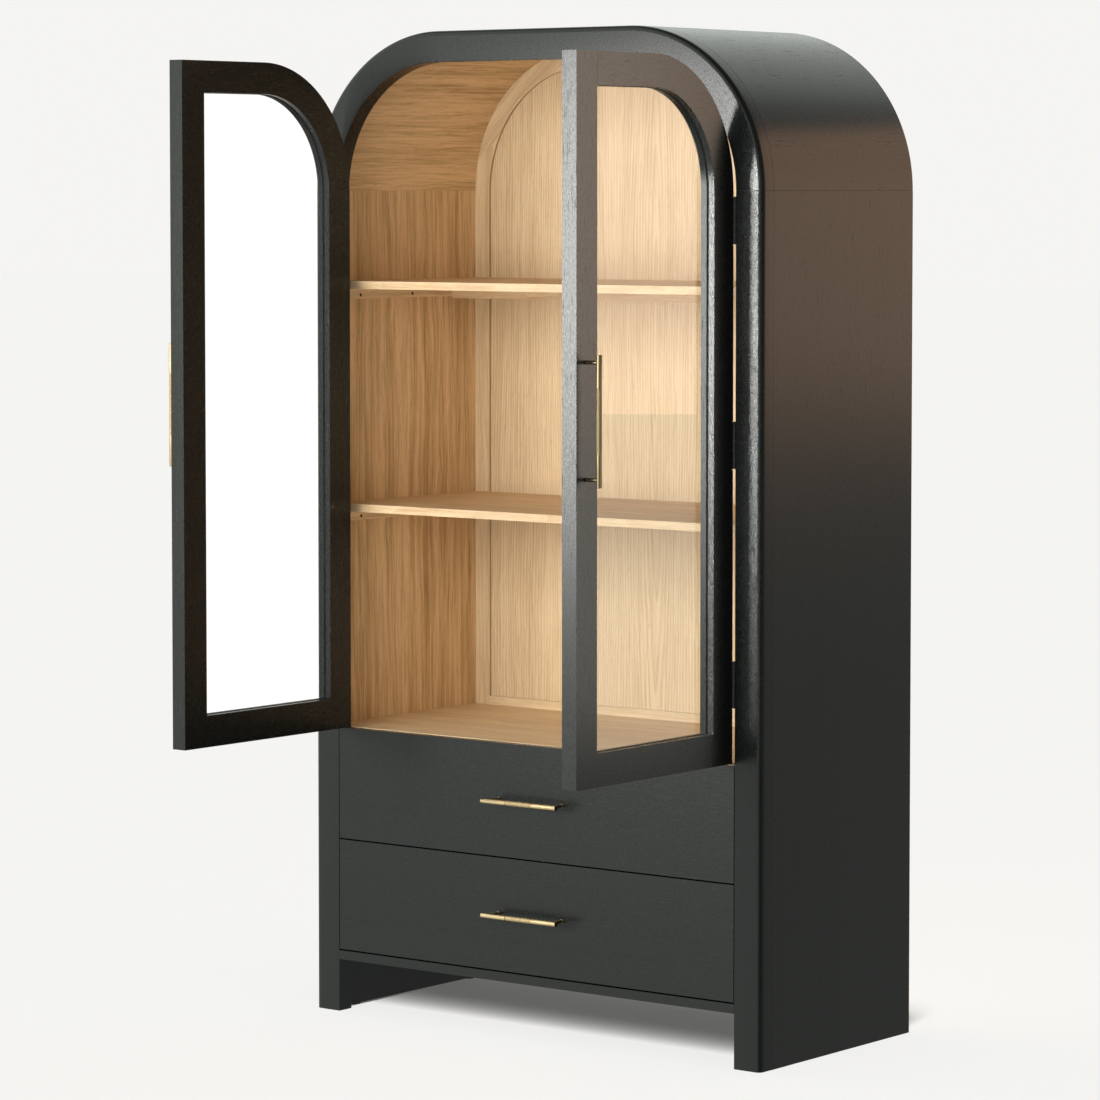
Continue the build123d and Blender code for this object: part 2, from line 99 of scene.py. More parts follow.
HANDLE_INSET = DOOR_FRAME / 2
HANDLE_GRIP = 120 * MM
HANDLE_SPACING = 214.5 * MM
HANDLE_STAND_OFF = 28 * MM
PULL_GRIP = 62 * MM
PULL_SPACING = 160 * MM
PULL_STAND_OFF = 36 * MM
BAR_R = 5.5 * MM
GRIP_R = 5.2 * MM
GRIP_ROOT_R = GRIP_R - 0.5 * MM
BAR_POST_R = 4.2 * MM
BAR_CHAMFER = 0.7 * MM
BAR_GROOVE = 0.9 * MM
COLLAR_T = 1.8 * MM
STEM_R = BAR_POST_R - 0.5 * MM
KNURL_PITCH = 1.5 * MM
KNURL_TEETH = 22
KNURL_DEPTH = 0.25 * MM
KNURL_FADE = 1.2 * MM
KNURL_STEP = 0.5 * MM


# ---------------------------------------------------------------- meshes


def to_object(name, bm, body, replaced=(), bevel=EDGE_BREAK, material=None):
    """Finish a bmesh as a piece: sharp edges by angle, a small edge break, a body and a slot."""
    bmesh.ops.recalc_face_normals(bm, faces=bm.faces)
    mesh = bpy.data.meshes.new(name)
    bm.to_mesh(mesh)
    bm.free()
    piece = bpy.data.objects.new(name, mesh)
    bpy.context.scene.collection.objects.link(piece)
    mesh.polygons.foreach_set("use_smooth", [True] * len(mesh.polygons))
    mesh.set_sharp_from_angle(angle=radians(30))
    if bevel:
        break_edges(piece, bevel)
    if material:
        mesh.materials.append(material)
    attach(piece, body)
    if replaced:
        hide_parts(*replaced)
    return piece


def break_edges(piece, width):
    """Soften the sharp edges of a piece with a small bevel."""
    bevel = piece.modifiers.new("edge_break", "BEVEL")
    bevel.width = width
    bevel.segments = 2
    bevel.limit_method = "ANGLE"
    bevel.angle_limit = radians(40)
    bevel.harden_normals = True
    bevel.use_clamp_overlap = True


def sweep(stations, section, place, closed=False):
    """Loft a closed section along stations; place(station, section_point) gives each vertex.

    The UV map holds the distance along the path and around the section, in metres.
    """
    bm = bmesh.new()
    uv_layer = bm.loops.layers.uv.new("UVMap")
    rings = [[bm.verts.new(place(station, point)) for point in section] for station in stations]
    along = [0.0]
    for low, high in zip(rings, rings[1:]):
        along.append(along[-1] + (high[0].co - low[0].co).length)
    around = [0.0]
    for a, b in zip(section, section[1:] + section[:1]):
        around.append(around[-1] + (Vector(b) - Vector(a)).length)
    count = len(section)
    spans = len(rings) if closed else len(rings) - 1
    along.append(along[-1] + (rings[0][0].co - rings[-1][0].co).length)
    for i in range(spans):
        j = (i + 1) % len(rings)
        for k in range(count):
            m = (k + 1) % count
            face = bm.faces.new((rings[i][k], rings[i][m], rings[j][m], rings[j][k]))
            corners = ((along[i], around[k]), (along[i], around[k + 1]),
                       (along[i + 1], around[k + 1]), (along[i + 1], around[k]))
            for loop, corner in zip(face.loops, corners):
                loop[uv_layer].uv = corner
    if not closed:
        bm.faces.new(rings[0])
        bm.faces.new(reversed(rings[-1]))
    return bm


def arch_stations():
    """Stations over the case's arch, from the right spring to the left, as (centre x, direction)."""
    steps = [radians(90 * i / ARC_STEPS) for i in range(ARC_STEPS + 1)]
    right = [(ARCH_X, cos(a), sin(a)) for a in steps]
    left = [(-ARCH_X, -sin(a), cos(a)) for a in steps]
    return right + left


def on_arch(station, point):
    """Place a section point (radius, y) at an arch station."""
    centre, across, up = station
    radius, y = point
    return (centre + radius * across, y, SPRING_Z + radius * up)


def rounded(corner, start, end, radius, steps=10):
    """Points of a quarter round that replaces a corner, running from start's side to end's side."""
    corner, start, end = Vector(corner), Vector(start), Vector(end)
    toward_start = (start - corner).normalized() * radius
    toward_end = (end - corner).normalized() * radius
    centre = corner + toward_start + toward_end
    angles = [pi / 2 * i / steps for i in range(steps + 1)]
    return [tuple(centre - toward_end * cos(a) - toward_start * sin(a)) for a in angles]


def arch_piece(name, outer_r, inner_r, low_y, high_y, material, bevel=EDGE_BREAK, round_r=0):
    """Bent board over the arch with a rectangular section, its outer front edge rounded by round_r."""
    front_outer = (outer_r, low_y)
    nose = [front_outer]
    if round_r:
        nose = rounded(front_outer, (outer_r, high_y), (inner_r, low_y), round_r)
    section = [(inner_r, low_y), (inner_r, high_y), (outer_r, high_y)] + nose
    bm = sweep(arch_stations(), section, on_arch)
    return to_object(name + "_shaped", bm, "cabinet", [name], bevel, material)


def post_piece(side, material):
    """Face-frame post with a rounded outer front edge, standing from the floor to the spring line."""
    sign = 1 if side == "right" else -1
    outer, inner = POST_HIGH.x, POST_LOW.x
    nose = rounded((outer, POST_LOW.y), (outer, POST_HIGH.y), (inner, POST_LOW.y), POST_ROUND)
    section = [(inner, POST_LOW.y), (inner, POST_HIGH.y), (outer, POST_HIGH.y)] + nose
    bm = sweep([POST_LOW.z, POST_HIGH.z], section, lambda z, point: (sign * point[0], point[1], z))
    return to_object(f"{side}_post_shaped", bm, "cabinet", [f"{side}_front_post"],
                     EDGE_BREAK, material)


def door_matrix(side):
    """Matrix from door coordinates (width to the right, depth inwards, height) to the row frame."""
    joint = next(j for j in frame["joints"] if j["name"] == f"{side}_door_hinge")
    pivot = Vector((joint["pos_m"][0], joint["pos_m"][1], 0))
    return Matrix.Translation(pivot) @ Matrix.Rotation(radians(OPEN_ANGLE[side]), 4, "Z")


def door_arc(step):
    """Direction (u, z) from the corner's centre at one step from the top to the hinge side."""
    angle = radians(90 * step / ARC_STEPS)
    return (-sin(angle), cos(angle))


def on_door(side):
    """Placing function for sections (inset, depth) around a door."""
    matrix, hand = door_matrix(side), HAND[side]

    def place(station, point):
        inset, depth = point
        u, z = station(inset)
        return matrix @ Vector((hand * u, PIVOT_OUT + depth, z))

    return place


def arc_station(step):
    """Station on the door's rounded corner."""
    across, up = door_arc(step)
    return lambda inset: (CORNER_U + (DOOR_R - inset) * across, SPRING_Z + (DOOR_R - inset) * up)


def arched_rail(side, material):
    """Top rail of a door: straight from the meeting stile, then bent down to the spring line."""
    stations = [lambda inset: (FREE_U - DOOR_FRAME, DOOR_TOP_Z - inset)]
    stations += [arc_station(step) for step in range(ARC_STEPS + 1)]
    groove_low, groove_high = (DOOR_T - GROOVE_T) / 2, (DOOR_T + GROOVE_T) / 2
    floor = DOOR_FRAME - GROOVE_DEPTH
    section = [(0, 0), (DOOR_FRAME, 0), (DOOR_FRAME, groove_low), (floor, groove_low),
               (floor, groove_high), (DOOR_FRAME, groove_high), (DOOR_FRAME, DOOR_T), (0, DOOR_T)]
    bm = sweep(stations, section, on_door(side))
    return to_object(f"{side}_arched_rail_shaped", bm, f"{side}_door",
                     [f"{side}_door_arched_rail"], EDGE_BREAK, material)


def glazing_seal(side, material):
    """Seal around the glass, with a slot that holds the pane."""
    stations = [
        lambda inset: (EDGE_U + inset, DOOR_LOW_Z + inset),
        lambda inset: (FREE_U - inset, DOOR_LOW_Z + inset),
        lambda inset: (FREE_U - inset, DOOR_TOP_Z - inset),
    ]
    stations += [arc_station(step) for step in range(ARC_STEPS + 1)]
    root, lip, slot = DOOR_FRAME - GROOVE_DEPTH, DOOR_FRAME + SEAL_REVEAL, DOOR_FRAME - GLASS_COVER
    out_low, out_high = (DOOR_T - GROOVE_T) / 2, (DOOR_T + GROOVE_T) / 2
    in_low, in_high = (DOOR_T - GLASS_T) / 2, (DOOR_T + GLASS_T) / 2
    section = [(root, out_low), (lip, out_low), (lip, in_low), (slot, in_low),
               (slot, in_high), (lip, in_high), (lip, out_high), (root, out_high)]
    bm = sweep(stations, section, on_door(side), closed=True)
    return to_object(f"{side}_glazing_seal_shaped", bm, f"{side}_door",
                     [f"{side}_door_glazing_seal"], 0, material)


def lathe(bm, matrix, profile, around, knurl=None):
    """Turn a profile of (distance along Z, radius) about Z; knurl(t, angle) is added to the radius."""
    rings = []
    for t, radius in profile:
        ring = []
        for k in range(around):
            angle = 2 * pi * k / around
            r = radius + (knurl(t, angle) if knurl else 0)
            ring.append(bm.verts.new(matrix @ Vector((r * cos(angle), r * sin(angle), t))))
        rings.append(ring)
    for low, high in zip(rings, rings[1:]):
        for k in range(around):
            m = (k + 1) % around
            bm.faces.new((low[k], low[m], high[m], high[k]))
    bm.faces.new(list(reversed(rings[0])))
    bm.faces.new(rings[-1])


def knurl_height(half_grip):
    """Height of a diamond knurl, faded out towards both ends of the grip."""
    turn = 2 * pi / KNURL_TEETH / KNURL_PITCH

    def height(t, angle):
        fade = max(0.0, min(1.0, (half_grip - abs(t)) / KNURL_FADE))
        right_hand = abs(sin(KNURL_TEETH / 2 * (angle + turn * t)))
        left_hand = abs(sin(KNURL_TEETH / 2 * (angle - turn * t)))
        return fade * KNURL_DEPTH * (right_hand * left_hand * 2 - 1)

    return height


def handle(name, node, body, matrix, length, grip, spacing, stand_off, material):
    """Bar handle with a knurled grip and two collared posts.

    In its own coordinates the bar runs along X at height stand_off over the face, which is Z = 0.
    """
    bm = bmesh.new()
    half, half_grip = length / 2, grip / 2
    shoulder = half_grip + BAR_GROOVE
    along_bar = matrix @ Matrix.Translation((0, 0, stand_off)) @ Matrix.Rotation(pi / 2, 4, "Y")
    for sign in (-1, 1):
        end = [(shoulder, GRIP_R - 0.4 * MM), (shoulder, BAR_R - BAR_CHAMFER / 2),
               (shoulder + BAR_CHAMFER / 2, BAR_R), (half - BAR_CHAMFER, BAR_R),
               (half - BAR_CHAMFER * 0.3, BAR_R - BAR_CHAMFER * 0.3), (half, BAR_R - BAR_CHAMFER)]
        lathe(bm, along_bar, [(sign * t, r) for t, r in end], 48)

    rows = int(grip / KNURL_STEP)
    core = [(-shoulder, GRIP_ROOT_R), (-half_grip, GRIP_ROOT_R)]
    core += [(-half_grip + grip * i / rows, GRIP_R) for i in range(rows + 1)]
    core += [(half_grip, GRIP_ROOT_R), (shoulder, GRIP_ROOT_R)]
    lathe(bm, along_bar, core, 4 * KNURL_TEETH, knurl_height(half_grip))

    post = [(0, BAR_POST_R - 0.3 * MM), (0.3 * MM, BAR_POST_R), (COLLAR_T, BAR_POST_R),
            (COLLAR_T + 0.4 * MM, STEM_R), (stand_off - 1 * MM, STEM_R)]
    for sign in (-1, 1):
        foot = matrix @ Matrix.Translation((sign * spacing / 2, 0, 0))
        lathe(bm, foot, post, 32)
    return to_object(name, bm, body, [node], 0, material)


def door_handle(side, material):
    """Upright bar handle in the middle of the door's meeting stile."""
    low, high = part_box("right_door_handle")
    centre_z = (low.z + high.z) / 2
    place = Matrix.Translation((HAND[side] * (FREE_U - HANDLE_INSET), PIVOT_OUT, centre_z))
    upright = Matrix(((0, 1, 0, 0), (0, 0, -1, 0), (-1, 0, 0, 0), (0, 0, 0, 1)))
    handle(f"{side}_handle_shaped", f"{side}_door_handle", f"{side}_door",
           door_matrix(side) @ place @ upright, high.z - low.z, HANDLE_GRIP, HANDLE_SPACING,
           HANDLE_STAND_OFF, material)


def drawer_pull(level, material):
    """Level bar handle in the middle of a drawer front."""
    low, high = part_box(f"{level}_drawer_pull")
    place = Matrix.Translation(((low.x + high.x) / 2, FRONT_Y, (low.z + high.z) / 2))
    facing = Matrix.Rotation(pi / 2, 4, "X")
    handle(f"{level}_pull_shaped", f"{level}_drawer_pull", f"{level}_drawer",
           place @ facing, high.x - low.x, PULL_GRIP, PULL_SPACING, PULL_STAND_OFF, material)


# ---------------------------------------------------------------- materials


class Nodes:
    """Small helper that builds a node tree from sockets and plain numbers."""

    def __init__(self, tree):
        self.tree = tree

    def link(self, source, target):
        """Join two sockets."""
        self.tree.links.new(source, target)

    def put(self, value, socket):
        """Feed a socket from another one, or set it to a plain value."""
        if isinstance(value, bpy.types.NodeSocket):
            self.link(value, socket)
        elif value is not None:
            socket.default_value = value

    def math(self, operation, a, b=None, c=None, clamp=False):
        """One arithmetic step on sockets or numbers."""
        node = self.tree.nodes.new("ShaderNodeMath")
        node.operation = operation
        node.use_clamp = clamp
        for value, socket in zip((a, b, c), node.inputs):
            self.put(value, socket)
        return node.outputs[0]

    def combine(self, x, y, z):
        """Vector of three sockets or numbers."""
        node = self.tree.nodes.new("ShaderNodeCombineXYZ")
        for value, socket in zip((x, y, z), node.inputs):
            self.put(value, socket)
        return node.outputs[0]

    def level(self, factor, low, high, out_low=0.0, out_high=1.0):
        """Smooth step of a factor from one range to another."""
        node = self.tree.nodes.new("ShaderNodeMapRange")
        node.interpolation_type = "SMOOTHSTEP"
        for value, socket in zip((factor, low, high, out_low, out_high), node.inputs):
            self.put(value, socket)
        return node.outputs[0]

    def mix(self, factor, a, b):
        """Colour a where the factor is 0, colour b where it is 1."""
        node = self.tree.nodes.new("ShaderNodeMix")
        node.data_type = "RGBA"
        colours = [s for s in node.inputs if s.type == "RGBA"]
        self.put(factor, node.inputs[0])
        self.put((*a, 1) if isinstance(a, tuple) else a, colours[0])
        self.put((*b, 1) if isinstance(b, tuple) else b, colours[1])
        return [s for s in node.outputs if s.type == "RGBA"][0]


class Shade(Nodes):
    """One node material around a Principled shader."""

    def __init__(self, name):
        self.material = bpy.data.materials.new(name)
        self.material.use_nodes = True
        super().__init__(self.material.node_tree)
        self.shader = self.tree.nodes["Principled BSDF"]
        self.output = self.tree.nodes["Material Output"]

    def axes(self, order, use_uv=False):
        """Coordinates in metres as (across, through, along the grain)."""
        coordinates = self.tree.nodes.new("ShaderNodeTexCoord")
        split = self.tree.nodes.new("ShaderNodeSeparateXYZ")
        self.link(coordinates.outputs["UV" if use_uv else "Object"], split.inputs[0])
        return [split.outputs["XYZ".index(axis)] for axis in order]

    def noise(self, vector, detail=3.0, roughness=0.55):
        """Smooth noise from about 0 to 1."""
        node = self.tree.nodes.new("ShaderNodeTexNoise")
        node.inputs["Scale"].default_value = 1.0
        node.inputs["Detail"].default_value = detail
        node.inputs["Roughness"].default_value = roughness
        self.link(vector, node.inputs["Vector"])
        return node.outputs["Fac"]

    def stretched(self, axes, across, along, offset=0.0):
        """Vector for a noise with its own scale across and along the grain, in 1/m."""
        a, t, g = axes
        return self.combine(self.math("MULTIPLY_ADD", a, across, offset),
                            self.math("MULTIPLY", t, across),
                            self.math("MULTIPLY_ADD", g, along, offset * 1.7))

    def bump(self, height, strength, distance):
        """Fine relief on the shader's normal."""
        node = self.tree.nodes.new("ShaderNodeBump")
        node.inputs["Strength"].default_value = strength
        node.inputs["Distance"].default_value = distance
        self.link(height, node.inputs["Height"])
        self.link(node.outputs[0], self.shader.inputs["Normal"])

    def set(self, **values):
        """Feed the shader's inputs by name, with _ for a space."""
        for name, value in values.items():
            self.put(value, self.shader.inputs[name.replace("_", " ")])


def centred(shade, value):
    """A noise value shifted so that its middle is 0."""
    return shade.math("SUBTRACT", value, 0.5)


def cathedral(shade, axes, leaf, seed, wander):
    """Rings of the slim figure at the heart of each veneer leaf, and a random number per leaf."""
    across, through, along = axes
    place = shade.math("MULTIPLY_ADD", across, 1 / leaf, seed * 0.37)
    leaf_number = shade.math("FLOOR", place)
    dice = shade.tree.nodes.new("ShaderNodeTexWhiteNoise")
    dice.noise_dimensions = "1D"
    shade.link(shade.math("ADD", leaf_number, seed), dice.inputs["W"])
    chance = dice.outputs["Value"]
    local = centred(shade, shade.math("SUBTRACT", place, leaf_number))
    heart = shade.math("MULTIPLY_ADD", centred(shade, chance), 0.5, local)
    heart = shade.math("MULTIPLY", heart, leaf)
    heart = shade.math("MULTIPLY_ADD", centred(shade, wander), 0.05, heart)
    rise = shade.math("SUBTRACT", along, shade.math("MULTIPLY_ADD", chance, 1.4, 0.5))
    rise = shade.math("MULTIPLY", rise, 0.035)
    squares = shade.math("ADD", shade.math("POWER", heart, 2.0), shade.math("POWER", rise, 2.0))
    reach = shade.math("SQRT", squares)
    rings = shade.math("FRACT", shade.math("MULTIPLY", reach, 150))
    return shade.level(rings, 0.25, 1.0), chance


def paint_side_shade(shade, colour, dark, amount):
    """Painted shade: darken the faces of a board that look neither forwards nor backwards, as if they
    stood in shade.
    """
    geometry = shade.tree.nodes.new("ShaderNodeNewGeometry")
    facing = shade.tree.nodes.new("ShaderNodeSeparateXYZ")
    shade.link(geometry.outputs["Normal"], facing.inputs[0])
    edge = shade.level(shade.math("ABSOLUTE", facing.outputs[1]), 0.6, 0.3, 0.0, amount)
    return shade.mix(edge, colour, tuple(channel * 0.5 for channel in dark))


def oak(name, axes_of, light, dark, seed, leaf=0.16, figure=0.25, stripes=0.9, painted_side_shade=0.0):
    """Clear-finished oak veneer: leaves with slim cathedral figures, stripes, streaks and pores.

    axes_of gives the coordinates across the grain, through the board and along the grain. The last
    argument sets how much painted shade darkens the faces that look sideways.
    """
    shade = Shade(name)
    axes = axes_of(shade)
    across, through, along = axes
    wander = shade.noise(shade.stretched(axes, 7, 0.9, seed), 2)
    rings, chance = cathedral(shade, axes, leaf, seed, wander)
    ripple = shade.noise(shade.stretched(axes, 16, 4.5, seed + 5), 3, 0.6)
    bent = shade.math("MULTIPLY_ADD", centred(shade, ripple), 0.022, across)
    bent = shade.math("MULTIPLY_ADD", centred(shade, wander), 0.060, bent)
    waved = [bent, through, along]

    broad = shade.noise(shade.stretched(waved, 26, 0.9, seed + 11), 2)
    streaks = shade.noise(shade.stretched(waved, 95, 2.2, seed + 23), 3, 0.65)
    fine = shade.noise(shade.stretched(waved, 330, 9.0, seed + 29), 2, 0.6)
    fibre = shade.noise(shade.stretched(axes, 1100, 20, seed + 31), 1)
    pores = shade.noise(shade.stretched(axes, 700, 40, seed + 47), 2, 0.5)
    pore_mask = shade.level(pores, 0.60, 0.72)

    amount = shade.math("MULTIPLY_ADD", rings, figure, 0.36 - figure / 2)
    layers = ((broad, stripes * 1.5), (streaks, stripes * 1.9), (fine, 1.5), (chance, 0.16))
    for layer, weight in layers:
        amount = shade.math("MULTIPLY_ADD", centred(shade, layer), weight, amount)
    amount = shade.math("MULTIPLY_ADD", centred(shade, fibre), 0.3, amount, clamp=True)
    colour = shade.mix(amount, light, dark)
    # Painted shade on the faces that look sideways, such as the inner sides of the back's trim.
    if painted_side_shade:
        colour = paint_side_shade(shade, colour, dark, painted_side_shade)
    pore_colour = tuple(channel * 0.5 for channel in dark)
    colour = shade.mix(shade.math("MULTIPLY", pore_mask, 0.4), colour, pore_colour)

    shade.set(Base_Color=colour, Specular_IOR_Level=0.3)
    shade.set(Roughness=shade.level(fibre, 0.3, 0.7, 0.42, 0.56))
    height = shade.math("SUBTRACT", shade.math("MULTIPLY", fibre, 0.4), pore_mask)
    shade.bump(height, 0.25, 0.2 * MM)
    return shade.material


def grain(order):
    """Axes of a straight board, named across the grain, through the board and along the grain."""
    return lambda shade: shade.axes(order)


def bent_trim_grain(shade):
    """Axes of the curved trim: level in the middle, along the chord of each shoulder at its sides."""
    x, y, z = shade.axes("XYZ")
    side = shade.math("SIGN", x)
    out = shade.math("ABSOLUTE", x)
    shoulder = shade.math("GREATER_THAN", out, ARCH_X)
    diagonal = sin(radians(45))
    chord_along = shade.math("MULTIPLY", shade.math("SUBTRACT", out, z), diagonal)
    chord_across = shade.math("MULTIPLY", shade.math("ADD", out, z), diagonal)
    along = shade.math("MULTIPLY_ADD", shade.math("SUBTRACT", chord_along, out), shoulder, out)
    across = shade.math("MULTIPLY_ADD", shade.math("SUBTRACT", chord_across, z), shoulder, z)
    return [across, y, shade.math("MULTIPLY", along, side)]


def black_oak(name, order, seed, use_uv=False):
    """Black-stained open-grain oak under a satin lacquer."""
    shade = Shade(name)
    if use_uv:
        along, across, through = shade.axes("XYZ", True)
        axes = [across, through, along]
    else:
        axes = shade.axes(order)
    pores = shade.noise(shade.stretched(axes, 330, 22, seed), 3, 0.6)
    speckle = shade.noise(shade.stretched(axes, 560, 130, seed + 3), 2, 0.6)
    bands = shade.noise(shade.stretched(axes, 30, 1.2, seed + 9), 3)
    pore_mask = shade.level(pores, 0.58, 0.74)
    amount = shade.math("MULTIPLY_ADD", centred(shade, bands), 1.3, 0.5, clamp=True)
    colour = shade.mix(amount, (0.0066, 0.0078, 0.0070), (0.0042, 0.0052, 0.0046))
    colour = shade.mix(shade.math("MULTIPLY", pore_mask, 0.6), colour, (0.002, 0.002, 0.002))
    shade.set(Base_Color=colour, Specular_IOR_Level=0.25)
    gloss = shade.math("MULTIPLY_ADD", centred(shade, speckle), 0.22, 0.28)
    gloss = shade.math("MULTIPLY_ADD", pore_mask, 0.15, gloss, clamp=True)
    shade.set(Roughness=gloss)
    height = shade.math("MULTIPLY_ADD", pore_mask, -0.8, speckle)
    shade.bump(height, 0.22, 0.15 * MM)
    return shade.material


def satin_brass():
    """Brushed brass with faint turning marks and small tarnish clouds."""
    shade = Shade("satin_brass_metal")
    axes = shade.axes("XYZ")
    cloud = shade.noise(shade.stretched(axes, 60, 60, 2), 3)
    marks = shade.noise(shade.stretched(axes, 1800, 1800, 7), 2)
    colour = shade.mix(cloud, (0.57, 0.43, 0.25), (0.46, 0.34, 0.19))
    shade.set(Base_Color=colour, Metallic=1.0)
    shade.set(Roughness=shade.level(marks, 0.3, 0.7, 0.26, 0.38))
    shade.bump(marks, 0.12, 0.05 * MM)
    return shade.material


def metal(name, light, dark, metallic, low_rough, high_rough):
    """Painted or plated metal with a fine mottled finish."""
    shade = Shade(name)
    axes = shade.axes("XYZ")
    mottle = shade.noise(shade.stretched(axes, 300, 300, 4), 3)
    shade.set(Base_Color=shade.mix(mottle, light, dark), Metallic=metallic)
    shade.set(Roughness=shade.level(mottle, 0.3, 0.7, low_rough, high_rough))
    shade.bump(mottle, 0.1, 0.1 * MM)
    return shade.material


def rubber(name, light, dark):
    """Matt rubber or felt with a fine grain."""
    shade = Shade(name)
    axes = shade.axes("XYZ")
    grit = shade.noise(shade.stretched(axes, 900, 900, 8), 2)
    shade.set(Base_Color=shade.mix(grit, light, dark), Specular_IOR_Level=0.3)
    shade.set(Roughness=shade.level(grit, 0.3, 0.7, 0.6, 0.8))
    shade.bump(grit, 0.3, 0.15 * MM)
    return shade.material


def clear_glass():
    """Clear float glass that lets light from the lamps through to the shelves behind it."""
    shade = Shade("clear_glass_pane")
    axes = shade.axes("XYZ")
    haze = shade.noise(shade.stretched(axes, 7, 7, 3), 2)
    shade.set(Base_Color=shade.mix(haze, (0.905, 0.915, 0.900), (0.895, 0.908, 0.890)))
    shade.set(Transmission_Weight=1.0, IOR=1.45, Roughness=0.0)
    path = shade.tree.nodes.new("ShaderNodeLightPath")
    clear = shade.tree.nodes.new("ShaderNodeBsdfTransparent")
    clear.inputs[0].default_value = (0.95, 0.96, 0.955, 1)
    mixer = shade.tree.nodes.new("ShaderNodeMixShader")
    shade.link(path.outputs["Is Shadow Ray"], mixer.inputs[0])
    shade.link(shade.shader.outputs[0], mixer.inputs[1])
    shade.link(clear.outputs[0], mixer.inputs[2])
    shade.link(mixer.outputs[0], shade.output.inputs["Surface"])
    return shade.material


OAK_LIGHT = (0.78, 0.555, 0.305)
OAK_DARK = (0.42, 0.245, 0.10)
PALE_LIGHT = (0.83, 0.65, 0.41)
PALE_DARK = (0.60, 0.405, 0.21)
SHELF_LIGHT = (0.76, 0.545, 0.315)
SHELF_DARK = (0.54, 0.345, 0.17)

BLACK_UP = black_oak("black_oak_upright", "XYZ", 1)
BLACK_LEVEL = black_oak("black_oak_level", "ZYX", 2)
BLACK_DEEP = black_oak("black_oak_deep", "XZY", 3)
BLACK_BENT = black_oak("black_oak_bent", "XYZ", 4, use_uv=True)
OAK_WALL = oak("oak_wall", grain("YXZ"), OAK_LIGHT, OAK_DARK, 3.1, leaf=0.17, figure=0.12, stripes=1.1)
OAK_BACK = oak("oak_back", grain("XYZ"), PALE_LIGHT, PALE_DARK, 7.3, leaf=0.23, figure=0.5, stripes=0.6)
OAK_CEILING = oak("oak_ceiling", grain("ZXY"), OAK_LIGHT, OAK_DARK, 5.7, leaf=0.6, figure=0.1)
OAK_FLOOR = oak("oak_floor", grain("YZX"), PALE_LIGHT, PALE_DARK, 9.2, leaf=0.3)
# The trims get painted shade on their sideways faces.
OAK_TRIM = oak("oak_trim", grain("XYZ"), PALE_LIGHT, PALE_DARK, 12.4, leaf=0.4, figure=0.1, painted_side_shade=0.6)
OAK_TRIM_RAIL = oak("oak_trim_rail", grain("ZYX"), PALE_LIGHT, PALE_DARK, 14.8, leaf=0.4, figure=0.1,
                    painted_side_shade=0.6)
OAK_TRIM_ARCH = oak("oak_trim_arch", bent_trim_grain, PALE_LIGHT, PALE_DARK, 15.6, leaf=0.4, figure=0.1,
                    painted_side_shade=0.6)
OAK_SHELF = oak("oak_shelf", grain("YZX"), SHELF_LIGHT, SHELF_DARK, 17.5, leaf=0.3)
OAK_BOX = oak("drawer_box_wood", grain("ZXY"), PALE_LIGHT, PALE_DARK, 21.3, leaf=0.2, figure=0.1)
BRASS = satin_brass()
BLACK_METAL = metal("black_hinge_metal", (0.012, 0.012, 0.012), (0.02, 0.02, 0.02), 0.0, 0.35, 0.5)
ZINC = metal("zinc_slide_steel", (0.62, 0.63, 0.64), (0.5, 0.5, 0.52), 1.0, 0.3, 0.45)
SEAL = rubber("black_seal_rubber", (0.006, 0.006, 0.006), (0.012, 0.012, 0.012))
GLIDE = rubber("glide_felt", (0.03, 0.03, 0.03), (0.05, 0.05, 0.05))
GLASS = clear_glass()

CARRIED = {
    "left_side_panel": BLACK_UP, "right_side_panel": BLACK_UP, "bottom_panel": BLACK_LEVEL,
    "foot_blocks": BLACK_DEEP, "cabinet_floor": OAK_FLOOR, "back_panel": OAK_BACK,
    "side_linings": OAK_WALL, "back_trim_stiles": OAK_TRIM, "back_trim_rail": OAK_TRIM_RAIL,
    "upper_shelf": OAK_SHELF, "lower_shelf": OAK_SHELF, "shelf_rear_rails": OAK_SHELF,
    "shelf_ledgers": OAK_BOX, "ledger_screws": BLACK_METAL, "floor_glides": GLIDE,
    "slide_packers": OAK_BOX, "slide_outer_members": ZINC, "hinge_frame_leaves": BLACK_METAL,
    "hinge_pins": BLACK_METAL, "hinge_frame_screws": BLACK_METAL,
}
for side in ("left", "right"):
    CARRIED.update({
        f"{side}_door_hinge_stile": BLACK_UP, f"{side}_door_meeting_stile": BLACK_UP,
        f"{side}_door_bottom_rail": BLACK_DEEP, f"{side}_door_glass": GLASS,
        f"{side}_door_hinge_leaves": BLACK_METAL, f"{side}_door_hinge_screws": BLACK_METAL,
    })
for level in ("upper", "lower"):
    CARRIED.update({
        f"{level}_drawer_front": BLACK_LEVEL, f"{level}_drawer_sides": OAK_BOX,
        f"{level}_drawer_back": OAK_SHELF, f"{level}_drawer_bottom": OAK_SHELF,
        f"{level}_slide_inner_members": ZINC, f"{level}_slide_middle_members": ZINC,
    })

# Wooden nodes, known by their material, get the small edge break of the shaped pieces.
WOODEN = ("oak", "wood")

for node, material in CARRIED.items():
    part = frame["nodes"][node]
    part.data.materials.clear()
    part.data.materials.append(material)
    if any(word in material.name for word in WOODEN):
        break_edges(part, EDGE_BREAK)

# ---------------------------------------------------------------- shaped pieces that replace CAD nodes

arch_piece("front_arch_head", OUTER_R, INNER_R, HEAD_LOW.y, HEAD_HIGH.y, BLACK_BENT,
           round_r=POST_ROUND)
arch_piece("arch_top_shell", OUTER_R, OUTER_R - PANEL_T, SHELL_LOW.y, SHELL_HIGH.y, BLACK_DEEP)
arch_piece("arch_lining", LINING_R, LINING_R - LINING_T, LINING_LOW.y, LINING_HIGH.y,
           OAK_CEILING)

for side in ("left", "right"):
    post_piece(side, BLACK_UP)
    arched_rail(side, BLACK_DEEP)
    glazing_seal(side, SEAL)

